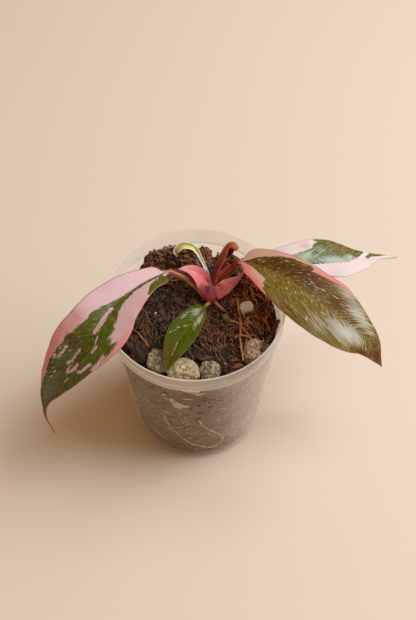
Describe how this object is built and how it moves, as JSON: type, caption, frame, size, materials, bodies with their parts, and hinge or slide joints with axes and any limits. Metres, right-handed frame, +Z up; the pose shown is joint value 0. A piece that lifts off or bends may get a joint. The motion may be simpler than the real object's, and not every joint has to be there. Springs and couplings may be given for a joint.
{
  "type": "potted plant",
  "caption": "Potted philodendron: arching pink and green leaves on a short red crown, in a clear round nursery pot filled with dark bark mix.",
  "frame": {"origin": "centre of the pot's foot, on the plane it stands on", "axes": "+Z up along the pot's axis; +X towards the two broad leaves at the right; -Y towards the viewer of the picture, where the small leaf hangs"},
  "size_m": [0.1999, 0.1, 0.1296],
  "materials": {
    "clear_pot": "clear polypropylene, slightly hazy",
    "peat": "dark crumbly peat and fine bark",
    "bark": "rough red-brown pine bark",
    "pumice": "rough porous stone, matt",
    "straw": "dry fibre, matt",
    "seed": "dry husk, matt",
    "crown_red": "fleshy crimson stem, satin",
    "sheath_pink": "fleshy pink-red sheath, satin",
    "new_leaf_red": "fleshy orange-red young leaf, satin",
    "dried_sheath": "dry white and yellow sheath",
    "leaf_pink_green": "satin leaf, pink with green streaks",
    "leaf_olive": "satin leaf, olive green with pink margins",
    "leaf_green": "glossy green young leaf",
    "root": "pale yellow-green root, matt"
  },
  "bodies": {
    "root": {"aerial_root": "crown_red", "bark_back_1": "bark", "bark_back_2": "bark", "bark_back_3": "bark", "bark_back_4": "bark", "bark_back_5": "bark", "bark_back_6": "bark", "bark_front_flake": "bark", "bark_left_front": "bark", "bark_left_long": "bark", "bark_left_small": "bark", "bark_middle_flake": "bark", "bark_right_1": "bark", "bark_right_2": "bark", "bark_right_3": "bark", "crown": "crown_red", "leaf_left": "leaf_pink_green", "leaf_right_back": "leaf_pink_green", "leaf_right_front": "leaf_olive", "leaf_small": "leaf_green", "new_leaf_rolled": "new_leaf_red", "pot": "clear_pot", "pumice_front": "pumice", "pumice_front_left": "pumice", "pumice_front_right": "pumice", "pumice_right": "pumice", "pumice_small": "pumice", "pumice_white": "pumice", "roots": "root", "seed_bit": "seed", "sheath_dried": "dried_sheath", "sheath_left": "sheath_pink", "sheath_red_tip": "new_leaf_red", "sheath_right": "sheath_pink", "straw_left": "straw", "straw_long": "straw", "substrate": "peat", "twig_right": "straw", "twig_small": "straw"}
  },
  "joints": []
}
